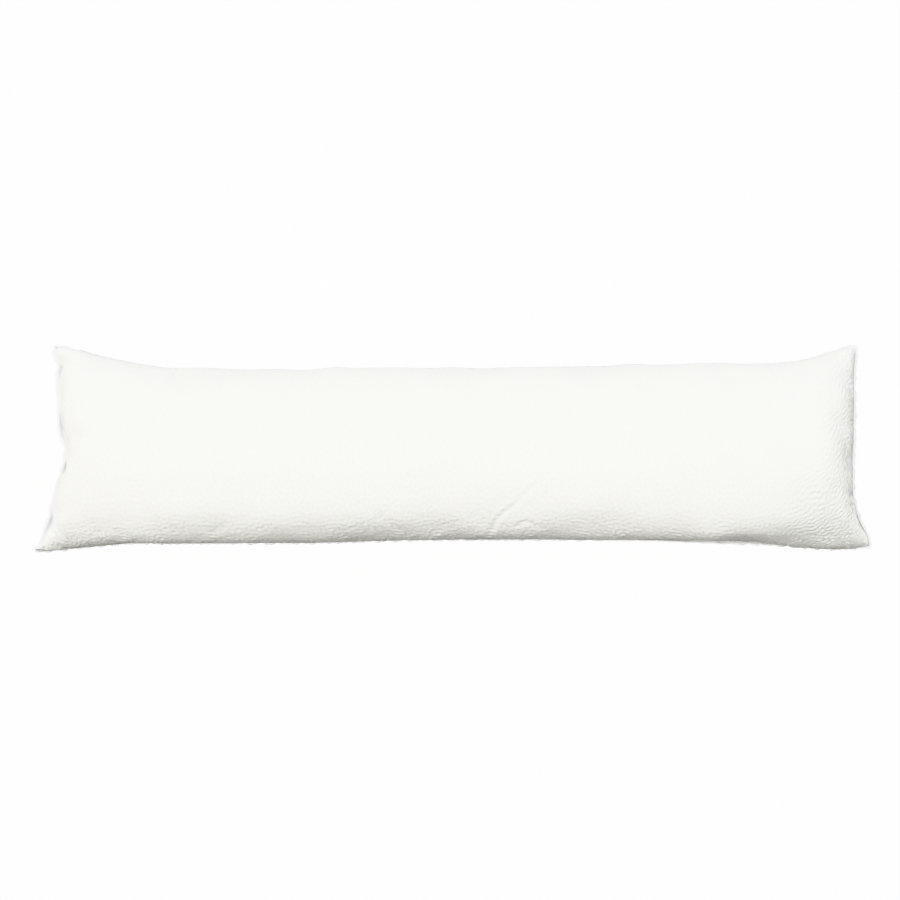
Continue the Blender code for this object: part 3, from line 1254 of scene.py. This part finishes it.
@dataclass
class CoverPiece:
    """Makes the cover's mesh from its panels and its sewn edge, and dresses it."""

    sewn: SewnCover = field(default_factory=SewnCover)
    finish: RippleKnitFinish = field(default_factory=RippleKnitFinish)
    lower_map_shift: float = 0.45
    fill: float = 0.9

    def build(self) -> tuple[bpy.types.Object, dict[Panel, np.ndarray]]:
        """Builds the cover.

        Returns:
            The cover, and for each panel the line that its stitches follow.
        """
        points, heights, painted_shades = self.sewn.panels()
        for grid in points.values():
            grid[..., :2] -= self.sewn.form.box_middle
            grid[..., 2] = np.maximum(grid[..., 2], 0.0)
        rows, strips = (size - 1 for size in heights[Panel.UPPER].shape)
        rim = np.array(self.sewn.rim(rows, strips))
        at_rim = (rim[:, 0], rim[:, 1])
        upper, lower = points[Panel.UPPER][at_rim], points[Panel.LOWER][at_rim]
        middle = (upper + lower) / 2
        rings = [self.sewn.edge_ring(middle, place) for place in self.sewn.edge_profile]

        size = (rows + 1) * (strips + 1)
        numbers = np.arange(size).reshape(rows + 1, strips + 1)
        loops = [numbers[at_rim]]
        loops += [2 * size + len(rim) * k + np.arange(len(rim)) for k in range(len(rings))]
        loops.append(size + numbers[at_rim])
        quads = grid_faces(numbers)
        faces = np.concatenate([quads, size + quads[:, ::-1], grid_faces(np.array(loops), closed=True)])
        every = np.concatenate([*(points[panel].reshape(-1, 3) for panel in Panel), *rings])
        cover = smooth_piece("cover", every, faces, self.finish.material())
        self.map_flat_cut(cover.data, heights, painted_shades, at_rim, len(rings))
        return cover, {
            Panel.UPPER: self.sewn.edge_ring(middle, self.sewn.upper_stitches),
            Panel.LOWER: self.sewn.edge_ring(middle, self.sewn.lower_stitches),
        }

    def map_flat_cut(
        self, mesh: bpy.types.Mesh, heights: dict[Panel, np.ndarray], painted_shades: dict[Panel, np.ndarray],
        at_rim: tuple[np.ndarray, np.ndarray], rings: int,
    ) -> None:
        """Gives the mesh its map of the flat cut and the two attributes that its finish reads.

        "ripple" is how high the ripple stands, and 1 on the sewn edge. "edge" is 1 on the sewn
        edge, and below 0 where painted shade darkens a panel.

        Args:
            mesh: the cover's mesh.
            heights: how high the ripple stands on each panel.
            painted_shades: how much painted shade darkens each panel.
            at_rim: grid places round a panel's edge.
            rings: how many rings of points the sewn edge has.
        """
        flat = np.stack(np.broadcast_arrays(*self.sewn.on_cut()), axis=-1)
        on_lower = flat + (0.0, self.lower_map_shift)
        places = np.concatenate([flat.reshape(-1, 2), on_lower.reshape(-1, 2)] + [flat[at_rim]] * rings)
        corners = np.empty(len(mesh.loops), np.int32)
        mesh.loops.foreach_get("vertex_index", corners)
        layer = mesh.uv_layers.new(name="flat_cut")
        layer.uv.foreach_set("vector", places[corners].astype(np.float32).ravel())
        on_edge = np.ones(rings * len(at_rim[0]))
        # "edge" carries the sewn edge as 1 and painted shade below 0.
        for name, sign, values in (("ripple", 1, heights), ("edge", -1, painted_shades)):
            every = np.concatenate([*(sign * values[panel].ravel() for panel in Panel), on_edge])
            attribute = mesh.attributes.new(name, "FLOAT", "POINT")
            attribute.data.foreach_set("value", every.astype(np.float32))


@dataclass
class SeamStitches:
    """A row of lockstitches along the sewn edge, set out by Geometry Nodes."""

    pitch: float = 0.0036
    stitch: float = 0.0029
    thread: float = 0.00035
    sides: int = 6
    rings: int = 5
    wander: float = math.radians(5)
    seed: int = 3
    finish: SewingThreadFinish = field(default_factory=SewingThreadFinish)

    def tree(self) -> bpy.types.NodeTree:
        """The nodes that set stitches along an edge line.

        Returns:
            The tree, with the stitches' sizes as named inputs.
        """
        tree = bpy.data.node_groups.new("seam_stitches", "GeometryNodeTree")
        tree.interface.new_socket("Geometry", in_out="OUTPUT", socket_type="NodeSocketGeometry")
        sizes = dict.fromkeys(("Pitch", "Stitch Length", "Thread Radius", "Wander"), "Float")
        for name, kind in {"Geometry": "Geometry", **sizes, "Seed": "Int", "Material": "Material"}.items():
            tree.interface.new_socket(name, in_out="INPUT", socket_type="NodeSocket" + kind)
        nodes = NodeMaker(tree)
        given = nodes.node("NodeGroupInput").other

        line = nodes.node("GeometryNodeMeshToCurve", {}, {"Mesh": given("Geometry")})
        spots = nodes.node(
            "GeometryNodeCurveToPoints", {"mode": "LENGTH"}, {"Curve": line, "Length": given("Pitch")})
        ball = nodes.node("GeometryNodeMeshUVSphere", {}, {
            "Segments": self.sides, "Rings": self.rings, "Radius": 1.0})
        size = nodes.node("ShaderNodeCombineXYZ", {}, {
            "X": given("Thread Radius"), "Y": given("Thread Radius"), "Z": given("Stitch Length") * 0.5})
        stitch = nodes.node("GeometryNodeTransform", {}, {"Geometry": ball, "Scale": size})
        placed = nodes.node("GeometryNodeInstanceOnPoints", {}, {
            "Points": spots, "Instance": stitch, "Rotation": spots.other("Rotation")})
        tilt = nodes.node("FunctionNodeRandomValue", {"data_type": "FLOAT"}, {
            2: given("Wander") * -1.0, 3: given("Wander"), "Seed": given("Seed")}, result=1)
        skew = nodes.node("ShaderNodeCombineXYZ", {}, {"X": tilt})
        strayed = nodes.node("GeometryNodeRotateInstances", {}, {"Instances": placed, "Rotation": skew})
        real = nodes.node("GeometryNodeRealizeInstances", {}, {"Geometry": strayed})
        smooth = nodes.node("GeometryNodeSetShadeSmooth", {}, {"Geometry": real})
        dressed = nodes.node("GeometryNodeSetMaterial", {}, {
            "Geometry": smooth, "Material": given("Material")})
        nodes.node("NodeGroupOutput", {}, {"Geometry": dressed})
        return tree

    def build(self, name: str, line: np.ndarray, tree: bpy.types.NodeTree,
              material: bpy.types.Material) -> bpy.types.Object:
        """Sets stitches along one line.

        Args:
            name: the piece's name.
            line: the points of the closed line that they follow.
            tree: the nodes.
            material: the thread's finish.

        Returns:
            The stitches as one plain mesh.
        """
        path = bpy.data.meshes.new(name + "_line")
        count = len(line)
        path.from_pydata(line.tolist(), [(k, (k + 1) % count) for k in range(count)], [])
        guide = in_scene(name + "_line", path)
        modifier = guide.modifiers.new("stitches", "NODES")
        modifier.node_group = tree
        wanted = {
            "Pitch": self.pitch, "Stitch Length": self.stitch, "Thread Radius": self.thread,
            "Wander": self.wander, "Seed": self.seed, "Material": material,
        }
        for item in tree.interface.items_tree:
            if item.in_out == "INPUT" and item.name in wanted:
                modifier[item.identifier] = wanted[item.name]
        evaluated = guide.evaluated_get(bpy.context.evaluated_depsgraph_get())
        mesh = bpy.data.meshes.new_from_object(evaluated)
        mesh.name = name
        bpy.data.objects.remove(guide, do_unlink=True)
        return in_scene(name, mesh)


@dataclass
class Studio:
    """The plain pale floor, the soft light and the camera."""

    light: float = 5.15
    light_spread: float = 2.2
    light_from: tuple[float, float, float] = (-0.26, 0.07, 1.0)
    near_loses: tuple[float, float, float] = (0.0, 0.02, 0.10)
    right_loses: tuple[float, float, float] = (0.10, 0.05, 0.0)
    fill: float = 0.035
    floor_glow: float = 4.5
    floor_grey: float = 0.9
    floor_reach: float = 14.0
    floor_flat: tuple[float, float] = (0.02, 0.7)
    floor_rise: float = 9.0
    floor_rings: int = 8
    bend_rings: int = 12
    floor_sides: int = 96
    target: tuple[float, float, float] = (-0.0051, -0.0145, 0.105)
    elevation: float = math.radians(75)
    distance: float = 2.6
    lens: float = 65.25
    sensor: float = 36.0

    def set_light(self) -> None:
        """A broad soft light overhead, a little to the left and the far side."""
        world = bpy.data.worlds.new("soft_overhead_light")
        world.use_nodes = True
        nodes = NodeMaker(world.node_tree)
        back = world.node_tree.nodes["Background"]
        way = nodes.node("ShaderNodeTexCoord", result="Generated")
        toward = Vector(self.light_from).normalized()
        above = nodes.node(
            "ShaderNodeVectorMath", {"operation": "DOT_PRODUCT"}, {0: way, 1: tuple(toward)}, result="Value"
        ).above_zero()
        part = nodes.node("ShaderNodeSeparateXYZ", {}, {"Vector": way}, result="X")
        from_right, from_near = part.above_zero(), (part.other("Y") * -1.0).above_zero()
        channels = {
            name: 1.0 - from_near * warm - from_right * cool
            for name, warm, cool in zip(("X", "Y", "Z"), self.near_loses, self.right_loses)
        }
        nodes.feed(back, {
            "Color": nodes.node("ShaderNodeCombineXYZ", {}, channels),
            "Strength": self.light * above**self.light_spread + self.fill,
        })
        bpy.context.scene.world = world

    def floor(self) -> None:
        """The floor, which curves up far away into a plain backdrop."""
        material, nodes, shader = new_material("pale_floor")
        nodes.feed(shader, {
            "Base Color": (self.floor_grey, self.floor_grey, self.floor_grey, 1.0),
            "Roughness": 1.0,
            "Specular IOR Level": 0.0,
            "Emission Color": (1.0, 1.0, 1.0, 1.0),
            "Emission Strength": self.floor_glow,
        })
        flat = np.linspace(*self.floor_flat, self.floor_rings) * self.floor_reach
        bend = np.linspace(0, math.pi / 2, self.bend_rings + 1)[1:]
        radius = np.concatenate([flat, flat[-1] + (self.floor_reach - flat[-1]) * np.sin(bend)])
        height = np.concatenate([np.zeros(len(flat)), self.floor_rise * (1 - np.cos(bend))])
        turn = np.linspace(0, 2 * math.pi, self.floor_sides, endpoint=False)
        x, y = radius[:, None] * np.cos(turn), radius[:, None] * np.sin(turn)
        points = np.stack([x, y, height[:, None] + 0 * turn], axis=-1)
        numbers = np.arange(x.size).reshape(x.shape)
        outer = smooth_piece("floor", points.reshape(-1, 3), grid_faces(numbers, closed=True), material)
        middle = smooth_piece("floor_middle", points[0], numbers[:1], material)
        for piece in (outer, middle):
            for ray in ("diffuse", "glossy", "transmission", "shadow"):
                setattr(piece, "visible_" + ray, False)

    def camera(self) -> None:
        """The camera, over the near side and looking down at the pillow's face."""
        data = bpy.data.cameras.new("camera")
        data.sensor_width = self.sensor
        data.lens = self.lens
        made = in_scene("camera", data)
        back = Vector((0.0, -math.cos(self.elevation), math.sin(self.elevation)))
        made.location = Vector(self.target) + self.distance * back
        made.rotation_euler = (math.pi / 2 - self.elevation, 0.0, 0.0)
        bpy.context.scene.camera = made

    def build(self) -> None:
        """Sets the whole studio."""
        self.set_light()
        self.floor()
        self.camera()
        bpy.context.scene.view_settings.view_transform = "Khronos PBR Neutral"


def report(piece: bpy.types.Object) -> None:
    """Logs a finished piece."""
    piece.data.calc_loop_triangles()
    LOG.info("%s: %d triangles", piece.name, len(piece.data.loop_triangles))


def main() -> None:
    """Builds the cover, its stitches and the studio."""
    logging.basicConfig(level=logging.INFO, format="%(name)s %(message)s")
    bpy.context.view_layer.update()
    maker = CoverPiece()
    cover, lines = maker.build()
    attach(cover, BODY)
    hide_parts(NODE)
    report(cover)

    stitches = SeamStitches()
    tree, thread = stitches.tree(), stitches.finish.material()
    for panel, name in ((Panel.UPPER, "edge_stitches_upper"), (Panel.LOWER, "edge_stitches_lower")):
        row = stitches.build(name, lines[panel], tree, thread)
        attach(row, BODY)
        report(row)

    Studio().build()


if __name__ == "__main__":
    main()
